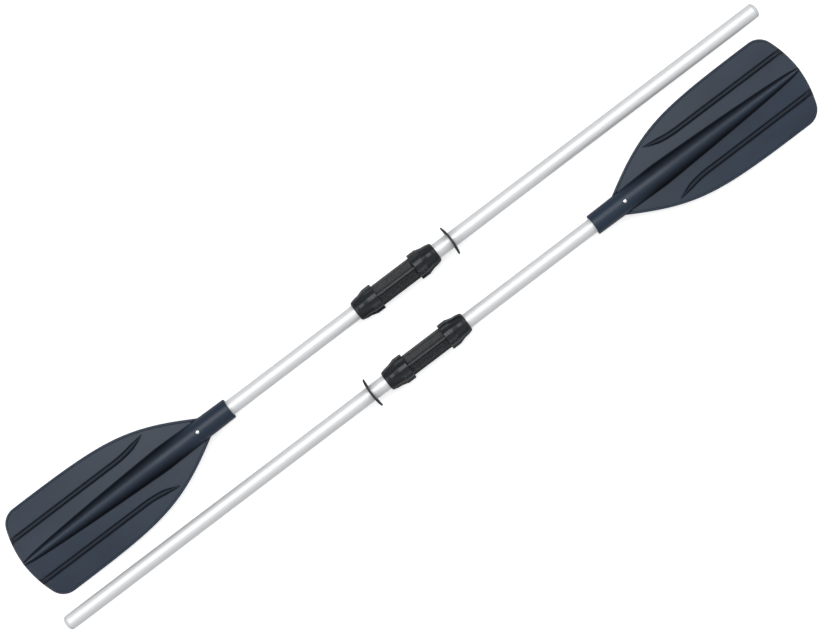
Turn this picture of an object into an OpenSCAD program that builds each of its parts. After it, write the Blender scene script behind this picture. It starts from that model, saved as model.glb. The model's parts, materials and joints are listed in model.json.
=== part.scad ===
// Pair of convertible oars that join into one double-bladed kayak paddle.
// Each half: moulded blade, lower tube, clamp coupling, upper tube and drip ring.
// Along a half, distances run from the blade tip (0) to the capped tube end.

/* [Overall] */
// Length of one half, blade tip to capped tube end
half_length = 1450; // [1200:10:1750]
// Clear gap between a blade's edge and the neighbouring tube as the pair lies
lay_gap = 23; // [10:1:60]

/* [Blade] */
// Length of the flat blade, tip to shoulder
blade_length = 361; // [300:1:440]
// Widest part of the blade
blade_width = 162; // [130:1:200]
// Radius of the rounded tip edge
tip_radius = 176; // [145:1:220]
// Radius of the two tip corners
corner_radius = 30; // [15:1:40]
// Distance from the shoulder over which the sides stop being parallel
side_taper = 144.4; // [110:0.2:180]
// Distance from the shoulder at which the sides pull in sharply
side_pull = 104; // [80:1:130]
// Thickness of the blade's web
web_t = 3; // [2:0.5:5]
// Thickness of the raised rim
rim_t = 5; // [4:0.5:8]
// Width of the raised rim
rim_w = 3.5; // [2:0.5:8]
// Distance of each stiffening rib from the centreline
rib_offset = 40.5; // [30:0.5:50]
// Width of a stiffening rib at the tip
rib_w = 8.6; // [4:0.2:10]
// Thickness through a stiffening rib
rib_t = 6; // [4:0.5:9]
// Angle of the spoon's bend line, which gives the blade its slight roof shape
roof_angle = 30; // [22:1:40]
// Radius of the spine at the tip
spine_tip_r = 2.5; // [1.5:0.1:4]

/* [Socket] */
// Length of the socket beyond the blade's shoulder
ferrule_length = 49.5; // [35:0.5:80]
// Wall of the socket at its mouth
ferrule_wall = 5.1; // [4:0.1:7]
// How much wider the socket is where the spine begins
socket_growth = 3.2; // [1:0.1:6]
// Length of tube held in the socket
socket_depth = 110; // [85:1:135]
// Distance from the shoulder back to the snap button
button_setback = 12; // [8:1:20]

/* [Tubes] */
// Outer diameter of both tubes
tube_d = 25; // [20:0.5:32]
// Wall thickness of both tubes
tube_wall = 1.2; // [0.8:0.05:2]
// Length of the domed end of the cap
cap_dome = 7; // [4:0.5:10]
// Length of the plugs inside the tubes
plug_length = 20; // [12:1:40]

/* [Snap button] */
// Diameter of the button
button_d = 6.2; // [5:0.2:8]
// Height of the button above the socket
button_rise = 0.6; // [0.3:0.1:1.5]
// Width of the flange that keeps the button in the tube
button_flange = 1.3; // [0.8:0.1:2]
// Thickness of the button's flange
button_flange_t = 1; // [0.8:0.1:2]
// Width of the leaf spring
leaf_w = 7; // [5:0.5:9]
// Thickness of the leaf spring
leaf_t = 0.6; // [0.4:0.1:1]
// Gap between the leaf spring's fold and the inner end of the tube
leaf_inset = 4.3; // [1:0.1:20]

/* [Coupling] */
// Distance from the blade tip to the middle of the coupling
coupling_at = 739; // [680:1:820]
// Wall of the sleeve over its ribs, measured from the tube
sleeve_wall = 5.85; // [5:0.05:8]
// Length of the sleeve left bare between the nuts
sleeve_bare = 72; // [50:1:100]
// Length of sleeve that each nut screws over
thread_length = 20; // [15:1:30]
// Pitch of the ribs, and of the nuts' thread
rib_pitch = 3; // [2.5:0.5:4]
// Depth of the grooves between the sleeve's ribs
groove_depth = 0.6; // [0.3:0.1:1]
// Width of the stop inside the sleeve, between the tubes
stop_w = 4; // [2:0.5:8]
// Length of a clamp nut beyond the end of the sleeve
nut_head = 23; // [19:1:32]
// How far a clamp nut's collar stands out from the sleeve
collar_step = 4.5; // [3:0.1:7]
// Length of the collar
collar_length = 17; // [12:1:20]
// How far the nut behind its collar stands out from the sleeve
waist_step = 1.3; // [0.8:0.1:3]
// How far the nut's outer end is drawn in from there
end_step = 2.15; // [1:0.05:2.6]
// Number of flutes around a nut
flutes = 8; // [6:1:10]
// Depth of a flute
flute_depth = 1; // [0.5:0.1:1.5]

/* [Drip ring] */
// Outer diameter of the drip ring
ring_d = 51.5; // [42:0.5:64]
// Distance from the upper nut to the middle of the ring's hub
ring_gap = 29.7; // [24:0.1:80]
// Length of the ring's hub along the tube
ring_hub = 4; // [3:0.5:8]
// Thickness of the ring's dish
ring_t = 1.8; // [1.2:0.1:3]
// Depth of the dish
ring_dish = 4; // [2:0.5:8]
// Depth of the shallow seat rolled into the tube under the ring
seat_depth = 0.3; // [0.2:0.05:0.5]

/* [Hidden] */

// Colours
plastic_navy = "#3a434d";
plastic_black = "#2b3034";
aluminium = "#d3d7d8";
cap_grey = "#b9bdbe";
steel = "#c9ccd0";
rubber_black = "#24282a";

// Clearances
fixed_fit = 0.05;    // pieces that stay put in one another
sliding_fit = 0.08;  // radial, on tubes and the button
loose_gap = 0.3;     // between other moving faces
cut = 1;             // how far a cutter runs past what it cuts
round_fn = 96;       // facets of a turned piece in a preview
spoon_fn = 1440;     // facets of the spoon's very large cylinders

// Layout
tube_r = tube_d / 2;
bore_r = tube_r - tube_wall;
guide_r = tube_r + sliding_fit;
ferrule_d = tube_d + 2 * ferrule_wall;
socket_root_d = ferrule_d + socket_growth;
sleeve_r = tube_r + sleeve_wall;
nut_r = sleeve_r + collar_step;
axis_z = max(ring_d / 2, nut_r, socket_root_d / 2);
spacing = blade_width / 2 + lay_gap + tube_r;
socket_start = blade_length + ferrule_length - socket_depth;
ferrule_end = blade_length + ferrule_length;
spine_root = socket_start - 23;

// Blade outline
corner_y = blade_width / 2 - corner_radius;
corner_at = tip_radius - sqrt(pow(tip_radius - corner_radius, 2) - pow(corner_y, 2));
tip_angle = asin(corner_y / (tip_radius - corner_radius));
shoulder_y = ferrule_d / 2;
side = [
    [corner_at, blade_width / 2],
    [blade_length - side_taper, blade_width / 2],
    [blade_length - side_pull, blade_width / 2 - 2.5],
    [blade_length, shoulder_y]
];
tip_steps = 10;
corner_steps = 8;
side_steps = 16;

// Each half of the blade curves down, away from a slanting bend line through the
// shoulder, until the rim of its tip corner touches the ground
half_rim = rim_t / 2;
lowest = roof_angle > tip_angle
    ? (blade_length - corner_at) * cos(roof_angle) + corner_y * sin(roof_angle) + corner_radius
    : (blade_length - tip_radius) * cos(roof_angle) + tip_radius;
spoon_r = (pow(lowest, 2) + pow(axis_z, 2) - pow(half_rim, 2)) / (2 * (axis_z - half_rim));
function spoon_z(s) = sqrt(pow(spoon_r, 2) - pow((blade_length - s) * cos(roof_angle), 2)) - spoon_r;

function bezier(p, t) =
    pow(1 - t, 3) * p[0] + 3 * t * pow(1 - t, 2) * p[1] + 3 * t * t * (1 - t) * p[2] + pow(t, 3) * p[3];
function bezier_dir(p, t) =
    pow(1 - t, 2) * (p[1] - p[0]) + 2 * t * (1 - t) * (p[2] - p[1]) + t * t * (p[3] - p[2]);
function inward(d) = [d[1], -d[0]] / norm(d);

// One half of the blade, from the middle of its tip to the shoulder, moved in by inset
function edge(inset) = concat(
    [for (i = [0 : tip_steps])
        let (a = tip_angle * i / tip_steps, r = tip_radius - inset)
            [tip_radius - r * cos(a), r * sin(a)]],
    [for (i = [1 : corner_steps])
        let (a = tip_angle + (90 - tip_angle) * i / corner_steps, r = corner_radius - inset)
            [corner_at - r * cos(a), corner_y + r * sin(a)]],
    [for (i = [1 : side_steps])
        let (t = i / side_steps)
            bezier(side, t) + inset * inward(bezier_dir(side, t))]
);
function half_outline(inset) = concat(edge(inset), [[blade_length, 0]]);

// Stiffening rib: straight from the tip, then curling outward to a point
rib_start = 13;
rib_bend = blade_length - 149;
rib_end = blade_length - 86;
rib_curl_r = 190;
rib_steps = 10;
function rib_y(s) = rib_offset + (s < rib_bend ? 0 : rib_curl_r - sqrt(pow(rib_curl_r, 2) - pow(s - rib_bend, 2)));
function rib_half(s) = rib_w / 2 * (s < rib_bend ? 1 - 0.23 * s / rib_bend : 0.77 * (rib_end - s) / (rib_end - rib_bend));
rib_stations = concat([rib_start], [for (i = [0 : rib_steps]) rib_bend + (rib_end - rib_bend) * i / rib_steps]);

// Snap button
button_at = blade_length - button_setback;
socket_taper = (socket_root_d - ferrule_d) / 2 / (ferrule_end - spine_root);
socket_r_at_button = ferrule_d / 2 + socket_taper * (ferrule_end - button_at);
button_top = socket_r_at_button + button_rise;
flange_r = button_d / 2 + button_flange;
flange_top = sqrt(pow(bore_r, 2) - pow(flange_r, 2)) - 0.2;
flange_bottom = flange_top - button_flange_t;
button_hole_r = button_d / 2 + sliding_fit;
button_dome_r = 8;

// Leaf spring: a lower leaf on the bore, a round fold and an upper leaf under the button
leaf_gap = 0.02;
leaf_pad = 7;
leaf_low = -sqrt(pow(bore_r, 2) - pow(leaf_w / 2, 2)) + leaf_gap;
leaf_top = flange_bottom - leaf_gap;
fold_r = 3.2;
fold_z = leaf_low + fold_r;
leaf_length = button_at - socket_start - fold_r - leaf_inset;
fold_steps = 10;
function fold_arc(r, from, to) = [for (i = [0 : fold_steps])
    let (a = from + (to - from) * i / fold_steps) [-leaf_length + r * cos(a), fold_z + r * sin(a)]];

// Coupling, measured from its middle
thread_r = sleeve_r - 0.35;
nut_start = sleeve_bare / 2;
nut_length = thread_length + nut_head;
nut_waist_r = sleeve_r + waist_step;
nut_end_r = nut_waist_r - end_step;
sleeve_end = nut_start + thread_length;
mouth_depth = 10;
mouth_inner_r = guide_r + 1.6;
mouth_outer_r = guide_r + 3;
stop_r = tube_r - 2;
tube_gap = stop_w / 2 + loose_gap;
clamp_start = sleeve_end - mouth_depth + 0.5;
clamp_r = mouth_outer_r - loose_gap;
nut_wall = 7;
clamp_end = nut_start + nut_length - nut_wall;
clamp_slot = 2;
nut_slope = 9;
rib_count = floor(sleeve_bare / rib_pitch);
rib_zone = rib_count * rib_pitch / 2;
rib_land = 0.5 * rib_pitch;

// Drip ring and the tube around it
ring_at = coupling_at + nut_start + nut_length + ring_gap;
ring_seat = ring_hub + 1;
cap_at = half_length - cap_dome;
cap_base_r = tube_r - 0.2;
cap_dome_r = (pow(cap_base_r, 2) + pow(cap_dome, 2)) / (2 * cap_dome);
cap_stem = 25;
dome_steps = 8;

// A turned piece: points are [radius, distance along the shaft]
module turned(points) {
    rotate([0, 90, 0])
        rotate_extrude($fn = round_fn)
            polygon(points);
}

// Cylinder along the shaft
module bar(from, to, r) {
    translate([from, 0, 0])
        rotate([0, 90, 0])
            cylinder(h = to - from, r = r, $fn = round_fn);
}

// Curved sheet that the web, rim and rib of one half of the blade are cut from
module spoon(thickness) {
    wide = 2 * (blade_length + blade_width);
    translate([blade_length, 0, -spoon_r])
        rotate([90, 0, -roof_angle])
            difference() {
                cylinder(h = wide, r = spoon_r + thickness / 2, center = true, $fn = spoon_fn);
                cylinder(h = wide + 2 * cut, r = spoon_r - thickness / 2, center = true, $fn = spoon_fn);
            }
}

// Upright prism on an outline, tall enough to pass right through the spoon
module upright(points, tall = 3 * axis_z) {
    translate([0, 0, -tall * 2 / 3])
        linear_extrude(height = tall)
            polygon(points);
}

module web() {
    intersection() {
        upright(half_outline(0));
        spoon(web_t);
    }
}

module rim() {
    intersection() {
        difference() {
            upright(half_outline(0));
            upright(concat(edge(rim_w), [[blade_length + cut, shoulder_y - rim_w], [blade_length + cut, -cut],
                [rim_w, -cut]]), 4 * axis_z);
        }
        spoon(rim_t);
    }
}

module stiffening_rib() {
    outer = [for (s = rib_stations) [s, rib_y(s) + rib_half(s)]];
    inner = [for (i = [len(rib_stations) - 2 : -1 : 0])
        let (s = rib_stations[i]) [s, rib_y(s) - rib_half(s)]];
    intersection() {
        upright(concat(outer, inner));
        spoon(rib_t);
    }
}

module half_blade() {
    web();
    rim();
    stiffening_rib();
}

module spine() {
    start = [5, spoon_z(5)];
    end = [spine_root + 12, -0.6];
    run = end - start;
    translate([start[0], 0, start[1]])
        rotate([0, 90 - atan2(run[1], run[0]), 0])
            cylinder(h = norm(run), r1 = spine_tip_r, r2 = socket_root_d / 2 - 0.4, $fn = round_fn);
}

module blade() {
    color(plastic_navy)
        difference() {
            union() {
                half_blade();
                mirror([0, 1, 0]) half_blade();
                spine();
                turned([[0, spine_root], [socket_root_d / 2, spine_root], [ferrule_d / 2, ferrule_end], [0, ferrule_end]]);
            }
            bar(socket_start, ferrule_end + cut, tube_r + fixed_fit);
            translate([button_at, 0, 0])
                cylinder(h = button_top + cut, r = button_hole_r, $fn = round_fn);
        }
}

module lower_tube() {
    color(aluminium)
        difference() {
            bar(socket_start + fixed_fit, coupling_at - tube_gap, tube_r);
            bar(socket_start - cut, coupling_at, bore_r);
            translate([button_at, 0, 0])
                cylinder(h = button_top, r = button_hole_r, $fn = round_fn);
        }
}

module lower_tube_plug() {
    color(rubber_black)
        bar(coupling_at - tube_gap - plug_length, coupling_at - tube_gap, bore_r - fixed_fit);
}

module snap_button() {
    color(steel)
        translate([button_at, 0, 0]) {
            intersection() {
                translate([0, 0, flange_bottom])
                    cylinder(h = button_top - flange_bottom, d = button_d, $fn = round_fn);
                translate([0, 0, button_top - button_dome_r])
                    sphere(button_dome_r, $fn = round_fn);
            }
            translate([0, 0, flange_bottom])
                cylinder(h = button_flange_t, r = flange_r, $fn = round_fn);
        }
}

module snap_spring() {
    pad_start = -leaf_pad;
    lower = [[leaf_pad, leaf_low], [leaf_pad, leaf_low + leaf_t]];
    inside = fold_arc(fold_r - leaf_t, 270, 90);
    upper = [[pad_start, leaf_top - leaf_t], [leaf_pad, leaf_top - leaf_t], [leaf_pad, leaf_top], [pad_start, leaf_top]];
    outside = fold_arc(fold_r, 90, 270);
    color(steel)
        translate([button_at, leaf_w / 2, 0])
            rotate([90, 0, 0])
                linear_extrude(height = leaf_w)
                    polygon(concat(lower, inside, upper, outside));
}

module coupling_sleeve() {
    ribs = [for (i = [0 : rib_count - 1])
        let (s = -rib_zone + i * rib_pitch, w = (rib_pitch - rib_land) / 4)
            each [[sleeve_r, s + w], [sleeve_r, s + w + rib_land],
                [sleeve_r - groove_depth, s + 2 * w + rib_land], [sleeve_r - groove_depth, s + rib_pitch]]];
    outer = concat([[mouth_outer_r, -sleeve_end], [thread_r, -sleeve_end], [thread_r, -nut_start],
        [sleeve_r - groove_depth, -nut_start]], ribs,
        [[thread_r, nut_start], [thread_r, sleeve_end], [mouth_outer_r, sleeve_end]]);
    mouth = sleeve_end - mouth_depth;
    inner = [[mouth_inner_r, mouth], [guide_r, mouth], [guide_r, stop_w / 2], [stop_r, stop_w / 2],
        [stop_r, -stop_w / 2], [guide_r, -stop_w / 2], [guide_r, -mouth], [mouth_inner_r, -mouth]];
    color(plastic_black)
        translate([coupling_at, 0, 0])
            turned(concat(outer, inner));
}

// Split ring that the nut presses into the sleeve's mouth, on the upper side
module clamp_ring() {
    nose_r = mouth_inner_r - loose_gap;
    color(plastic_black)
        difference() {
            turned([[guide_r, clamp_start], [nose_r, clamp_start], [clamp_r, sleeve_end], [clamp_r, clamp_end],
                [guide_r, clamp_end]]);
            translate([clamp_start - cut, -clamp_slot / 2, -clamp_r - cut])
                cube([clamp_end - clamp_start + 2 * cut, clamp_slot, clamp_r + cut]);
        }
}

// Clamp nut on the upper side
module nut() {
    start = nut_start + 0.5;
    end = nut_start + nut_length;
    collar_end = nut_start + collar_length;
    waist = collar_end + nut_slope;
    chamfer = 0.8;
    round_r = 4.5;
    flute_r = 9;
    thread_bore = thread_r + loose_gap;
    chamber_r = clamp_r + loose_gap;
    chamber_start = sleeve_end + 1;
    chamber_end = clamp_end + 0.1;
    mouth_r = tube_r + 0.4;
    end_arc = [for (i = [0 : 6]) let (a = 90 * i / 6)
        [nut_end_r - round_r + round_r * cos(a), end - round_r + round_r * sin(a)]];
    color(plastic_black)
        difference() {
            turned(concat(
                [[thread_bore, start], [nut_r - chamfer, start], [nut_r, start + chamfer],
                    [nut_r, collar_end], [nut_waist_r, waist]],
                end_arc,
                [[mouth_r, end], [mouth_r, chamber_end], [chamber_r, chamber_end], [chamber_r, chamber_start],
                    [thread_bore, chamber_start]]));
            for (i = [0 : flutes - 1])
                rotate([(i + 0.5) * 360 / flutes, 0, 0])
                    translate([0, 0, nut_r + flute_r - flute_depth])
                        bar(start - cut, waist, flute_r);
        }
}

module upper_tube() {
    from = coupling_at + tube_gap;
    color(aluminium)
        turned([[bore_r, from], [tube_r, from], [tube_r, ring_at - ring_seat / 2],
            [tube_r - seat_depth, ring_at - ring_seat / 2], [tube_r - seat_depth, ring_at + ring_seat / 2],
            [tube_r, ring_at + ring_seat / 2], [tube_r, cap_at], [bore_r, cap_at]]);
}

module upper_tube_plug() {
    color(rubber_black)
        bar(coupling_at + tube_gap, coupling_at + tube_gap + plug_length, bore_r - fixed_fit);
}

module end_cap() {
    stem_r = bore_r - fixed_fit;
    rise = asin(cap_base_r / cap_dome_r);
    dome = [for (i = [0 : dome_steps]) let (a = rise * (1 - i / dome_steps))
        [cap_dome_r * sin(a), half_length - cap_dome_r + cap_dome_r * cos(a)]];
    color(cap_grey)
        turned(concat([[0, cap_at - cap_stem], [stem_r, cap_at - cap_stem], [stem_r, cap_at]], dome));
}

module drip_ring() {
    rim = ring_d / 2;
    front = ring_at - ring_hub / 2;
    back = ring_at + ring_hub / 2;
    hub_r = guide_r + 2.4;
    color(rubber_black)
        turned([[guide_r, front], [hub_r, front], [rim - 0.6, back - ring_dish - ring_t], [rim, back - ring_dish - ring_t / 2],
            [rim - 0.6, back - ring_dish], [hub_r, back], [guide_r, back]]);
}

// Half A lies on the far side with its blade towards -X; half B is its half-turn twin
module half_a() {
    translate([-half_length / 2, spacing / 2, axis_z])
        children();
}

module half_b() {
    rotate([0, 0, 180])
        half_a()
            children();
}

module upper_side() {
    translate([coupling_at, 0, 0])
        children();
}

module lower_side() {
    translate([coupling_at, 0, 0])
        rotate([0, 0, 180])
            children();
}

module blade_a() { half_a() blade(); }
module lower_tube_a() { half_a() lower_tube(); }
module lower_tube_plug_a() { half_a() lower_tube_plug(); }
module snap_button_a() { half_a() snap_button(); }
module snap_spring_a() { half_a() snap_spring(); }
module coupling_sleeve_a() { half_a() coupling_sleeve(); }
module lower_clamp_ring_a() { half_a() lower_side() clamp_ring(); }
module upper_clamp_ring_a() { half_a() upper_side() clamp_ring(); }
module lower_nut_a() { half_a() lower_side() nut(); }
module upper_nut_a() { half_a() upper_side() nut(); }
module upper_tube_a() { half_a() upper_tube(); }
module upper_tube_plug_a() { half_a() upper_tube_plug(); }
module end_cap_a() { half_a() end_cap(); }
module drip_ring_a() { half_a() drip_ring(); }
module blade_b() { half_b() blade(); }
module lower_tube_b() { half_b() lower_tube(); }
module lower_tube_plug_b() { half_b() lower_tube_plug(); }
module snap_button_b() { half_b() snap_button(); }
module snap_spring_b() { half_b() snap_spring(); }
module coupling_sleeve_b() { half_b() coupling_sleeve(); }
module lower_clamp_ring_b() { half_b() lower_side() clamp_ring(); }
module upper_clamp_ring_b() { half_b() upper_side() clamp_ring(); }
module lower_nut_b() { half_b() lower_side() nut(); }
module upper_nut_b() { half_b() upper_side() nut(); }
module upper_tube_b() { half_b() upper_tube(); }
module upper_tube_plug_b() { half_b() upper_tube_plug(); }
module end_cap_b() { half_b() end_cap(); }
module drip_ring_b() { half_b() drip_ring(); }

blade_a();
lower_tube_a();
lower_tube_plug_a();
snap_button_a();
snap_spring_a();
coupling_sleeve_a();
lower_clamp_ring_a();
upper_clamp_ring_a();
lower_nut_a();
upper_nut_a();
upper_tube_a();
upper_tube_plug_a();
end_cap_a();
drip_ring_a();
blade_b();
lower_tube_b();
lower_tube_plug_b();
snap_button_b();
snap_spring_b();
coupling_sleeve_b();
lower_clamp_ring_b();
upper_clamp_ring_b();
lower_nut_b();
upper_nut_b();
upper_tube_b();
upper_tube_plug_b();
end_cap_b();
drip_ring_b();
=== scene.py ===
"""Looks of a pair of convertible oars: moulded blades, satin tubes, clamp couplings and drip rings."""

import json
import math

import bmesh
import bpy
from mathutils import Matrix, Vector


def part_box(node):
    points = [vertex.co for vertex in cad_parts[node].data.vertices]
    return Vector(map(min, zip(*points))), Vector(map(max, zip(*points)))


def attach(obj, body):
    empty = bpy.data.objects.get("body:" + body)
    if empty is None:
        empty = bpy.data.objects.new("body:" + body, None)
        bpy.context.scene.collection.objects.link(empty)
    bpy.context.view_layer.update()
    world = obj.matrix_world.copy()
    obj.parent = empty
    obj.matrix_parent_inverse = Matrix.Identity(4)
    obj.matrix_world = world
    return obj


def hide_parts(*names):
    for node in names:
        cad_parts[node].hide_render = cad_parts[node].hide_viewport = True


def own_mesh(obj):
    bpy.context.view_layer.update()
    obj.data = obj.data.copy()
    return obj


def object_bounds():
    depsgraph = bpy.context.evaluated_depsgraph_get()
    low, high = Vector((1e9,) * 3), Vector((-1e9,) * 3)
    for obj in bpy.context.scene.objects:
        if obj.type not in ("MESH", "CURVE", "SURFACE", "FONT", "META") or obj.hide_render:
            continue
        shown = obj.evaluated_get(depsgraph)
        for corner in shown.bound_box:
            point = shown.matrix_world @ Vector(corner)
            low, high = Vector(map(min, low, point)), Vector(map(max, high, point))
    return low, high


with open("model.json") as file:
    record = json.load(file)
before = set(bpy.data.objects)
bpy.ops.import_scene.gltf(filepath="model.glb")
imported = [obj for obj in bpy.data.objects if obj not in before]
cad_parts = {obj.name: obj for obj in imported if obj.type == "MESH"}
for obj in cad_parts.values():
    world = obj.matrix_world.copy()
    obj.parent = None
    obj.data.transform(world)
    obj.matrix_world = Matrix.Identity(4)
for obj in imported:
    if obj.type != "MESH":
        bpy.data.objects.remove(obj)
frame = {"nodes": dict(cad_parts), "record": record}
cad_low, cad_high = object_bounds()
mm = 0.001


# ---------------------------------------------------------------- the two oars

class Oar:
    """One oar of the pair. Distances run from the tip of its blade along its shaft."""

    def __init__(self, letter):
        self.letter = letter
        blade_low, blade_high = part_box(f"blade_{letter}")
        tube_low, tube_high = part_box(f"lower_tube_{letter}")
        self.way = 1 if blade_low.x < tube_low.x else -1
        self.tip = blade_low.x if self.way > 0 else blade_high.x
        self.shaft = (tube_low + tube_high) / 2

    def at(self, s, y, z):
        """The place in the frame that lies s along, y across and z above the shaft."""
        return Vector((self.tip + self.way * s, self.shaft.y + self.way * y, self.shaft.z + z))

    def reach(self, piece):
        """Where a piece starts and ends along the shaft, and how far it stands out sideways."""
        low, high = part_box(f"{piece}_{self.letter}")
        near, far = sorted(self.way * (x - self.tip) for x in (low.x, high.x))
        return near, far, (high.y - low.y) / 2

    def heights(self, piece):
        """How far the underside and the top of a piece are above the shaft's centreline."""
        low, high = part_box(f"{piece}_{self.letter}")
        return low.z - self.shaft.z, high.z - self.shaft.z


BEHAVIOUR = frame["record"]["behaviour"]
BODY_OF = {node: body for body, nodes in BEHAVIOUR["bodies"].items() for node in nodes}
WELD = 0.002 * mm


def smooth_step(low, high, value):
    """0 up to low, 1 from high on, and a soft change in between."""
    t = min(1.0, max(0.0, (value - low) / (high - low)))
    return t * t * (3 - 2 * t)


def add_object(name, data):
    """Puts a new object into the scene."""
    made = bpy.data.objects.new(name, data)
    bpy.context.scene.collection.objects.link(made)
    return made


def closed_mesh(oar, bm, name):
    """Welds the mesh, turns its faces outward and moves it from the oar's distances to the frame."""
    bmesh.ops.remove_doubles(bm, verts=bm.verts, dist=WELD)
    bmesh.ops.recalc_face_normals(bm, faces=bm.faces)
    for v in bm.verts:
        v.co = oar.at(*v.co)
    mesh = bpy.data.meshes.new(name)
    bm.to_mesh(mesh)
    bm.free()
    return mesh


def fit_piece(oar, piece, bm, slot, crease):
    """Puts a mesh in place of its CAD node, in its slot's finish. Edges over crease degrees are sharp."""
    node = f"{piece}_{oar.letter}"
    mesh = closed_mesh(oar, bm, f"{node}_look")
    mesh.polygons.foreach_set("use_smooth", [True] * len(mesh.polygons))
    mesh.set_sharp_from_angle(angle=math.radians(crease))
    mesh.materials.append(FINISHES[slot])
    made = add_object(f"{node}_look", mesh)
    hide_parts(node)
    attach(made, BODY_OF[node])
    return made


def close_rings(bm, rings):
    """Joins each ring of vertices to the next, and the last to the first."""
    for one, two in zip(rings, rings[1:] + rings[:1]):
        for k in range(len(one)):
            bm.faces.new((one[k], one[k - 1], two[k - 1], two[k]))


def turned(profile, around, shape=None, upright_at=None):
    """A closed turned mesh from [distance, radius] pairs.

    shape may change the radius round the axis. The axis is the shaft's, or stands up from it at upright_at.
    """
    bm = bmesh.new()
    rings = []
    for s, r in profile:
        ring = []
        for k in range(around):
            a = 2 * math.pi * k / around
            radius = shape(s, r, a) if shape else r
            if upright_at is None:
                ring.append(bm.verts.new((s, radius * math.sin(a), radius * math.cos(a))))
            else:
                ring.append(bm.verts.new((upright_at + radius * math.cos(a), radius * math.sin(a), s)))
        rings.append(ring)
    close_rings(bm, rings)
    return bm


ON_AXIS = 0.01 * mm
HARDLY_BENT = math.radians(170)
MOST_OF_A_SIDE = 0.45


def eased(profile, radius, steps=3):
    """The profile with its corners rounded off."""
    out = []
    for i, corner in enumerate(profile):
        corner = Vector(corner)
        back = Vector(profile[i - 1]) - corner
        on = Vector(profile[(i + 1) % len(profile)]) - corner
        if corner.y < ON_AXIS or back.angle(on) > HARDLY_BENT:
            out.append(corner)
            continue
        start = corner + back.normalized() * min(radius, back.length * MOST_OF_A_SIDE)
        end = corner + on.normalized() * min(radius, on.length * MOST_OF_A_SIDE)
        for k in range(steps + 1):
            t = k / steps
            out.append((1 - t) ** 2 * start + 2 * t * (1 - t) * corner + t * t * end)
    return out


# ---------------------------------------------------------------- finishes

class Wire:
    """One shader output. Ordinary arithmetic on it adds Math nodes to its finish."""

    def __init__(self, finish, end):
        self.finish = finish
        self.end = end

    def math(self, operation, one, two):
        return self.finish.node("Math", {"operation": operation}, {0: one, 1: two})

    def __add__(self, other):
        return self.math("ADD", self, other)

    def __radd__(self, other):
        return self.math("ADD", other, self)

    def __sub__(self, other):
        return self.math("SUBTRACT", self, other)

    def __rsub__(self, other):
        return self.math("SUBTRACT", other, self)

    def __mul__(self, other):
        return self.math("MULTIPLY", self, other)

    def __rmul__(self, other):
        return self.math("MULTIPLY", other, self)

    def between(self, low, high):
        """0 below low, 1 above high, and a soft change in between."""
        settings = {"interpolation_type": "SMOOTHSTEP"}
        return self.finish.node("MapRange", settings, {"Value": self, "From Min": low, "From Max": high})


class Finish:
    """A procedural finish, put together node by node."""

    def __init__(self, name):
        self.material = bpy.data.materials.new(name)
        self.material.use_nodes = True
        self.tree = self.material.node_tree
        self.tree.nodes.clear()
        self.place = self.node("TexCoord", out="Object")

    def node(self, kind, settings=None, sockets=None, out=0):
        """Adds a node of a kind, sets it up, then gives its sockets their values or links."""
        made = self.tree.nodes.new("ShaderNode" + kind)
        for key, value in (settings or {}).items():
            setattr(made, key, value)
        for key, value in (sockets or {}).items():
            if isinstance(value, Wire):
                self.tree.links.new(value.end, made.inputs[key])
            else:
                made.inputs[key].default_value = value
        return Wire(self, made.outputs[out])

    def mix(self, share, one, two):
        """A colour between one and two."""
        return self.node("Mix", {"data_type": "RGBA"}, {0: share, 6: one, 7: two}, out=2)

    def noise(self, scale, detail=3.0, stretch=None, rough=0.5):
        """Cloudy noise from 0 to 1; scale is its waves a metre, and stretch multiplies that for each axis."""
        where = self.place
        if stretch:
            where = self.node("VectorMath", {"operation": "MULTIPLY"}, {0: self.place, 1: stretch})
        sockets = {"Vector": where, "Scale": scale, "Detail": detail, "Roughness": rough}
        return self.node("TexNoise", None, sockets)

    def cells(self, scale):
        """Distance from the middle of the nearest cell; scale is the cells a metre."""
        return self.node("TexVoronoi", None, {"Vector": self.place, "Scale": scale}, out="Distance")

    def marked(self, name):
        """A value that the mesh carries at each of its points."""
        return self.node("Attribute", {"attribute_name": name}, out="Fac")

    def bump(self, height, depth, strength, under=None):
        """A bump of a height, over another bump if there is one under it."""
        sockets = {"Height": height, "Distance": depth, "Strength": strength}
        if under:
            sockets["Normal"] = under
        return self.node("Bump", None, sockets, out="Normal")

    def surface(self, over=None, share=0.0, **sockets):
        """Ends the finish in a Principled shader, with a share of another shader over it."""
        named = {key.replace("_", " "): value for key, value in sockets.items()}
        shader = self.node("BsdfPrincipled", None, named)
        if over:
            shader = self.node("MixShader", None, {0: share, 1: shader, 2: over})
        end = self.tree.nodes.new("ShaderNodeOutputMaterial")
        self.tree.links.new(shader.end, end.inputs["Surface"])
        return self.material


def tint(red, green, blue):
    return (red, green, blue, 1.0)


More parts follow.
